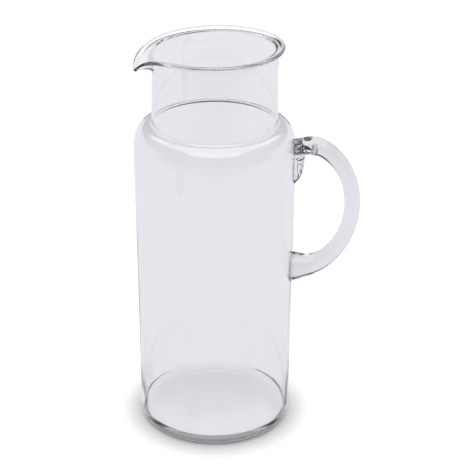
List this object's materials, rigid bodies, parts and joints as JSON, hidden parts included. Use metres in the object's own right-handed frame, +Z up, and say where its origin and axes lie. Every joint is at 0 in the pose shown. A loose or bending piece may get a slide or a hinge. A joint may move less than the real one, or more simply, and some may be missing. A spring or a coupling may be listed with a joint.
{
  "type": "glass water jug",
  "caption": "Tall clear blown-glass water jug: straight body, rounded shoulder, straight neck, rolled lip with a pulled pouring spout, and a solid bow handle with a crimped tail.",
  "frame": {"origin": "centre of the flat base, on the axis of the body, at the height of the surface it stands on", "axes": "+Z up along the body's axis, +X from the axis towards the handle; the spout points roughly along -X, 24.5 degrees towards -Y"},
  "size_m": [0.1641, 0.117, 0.2946],
  "materials": {
    "vessel_glass": "clear, fire polished",
    "handle_glass": "clear, fire polished"
  },
  "bodies": {
    "root": {"vessel": "vessel_glass", "handle": "handle_glass", "handle_tail": "handle_glass"}
  },
  "joints": []
}
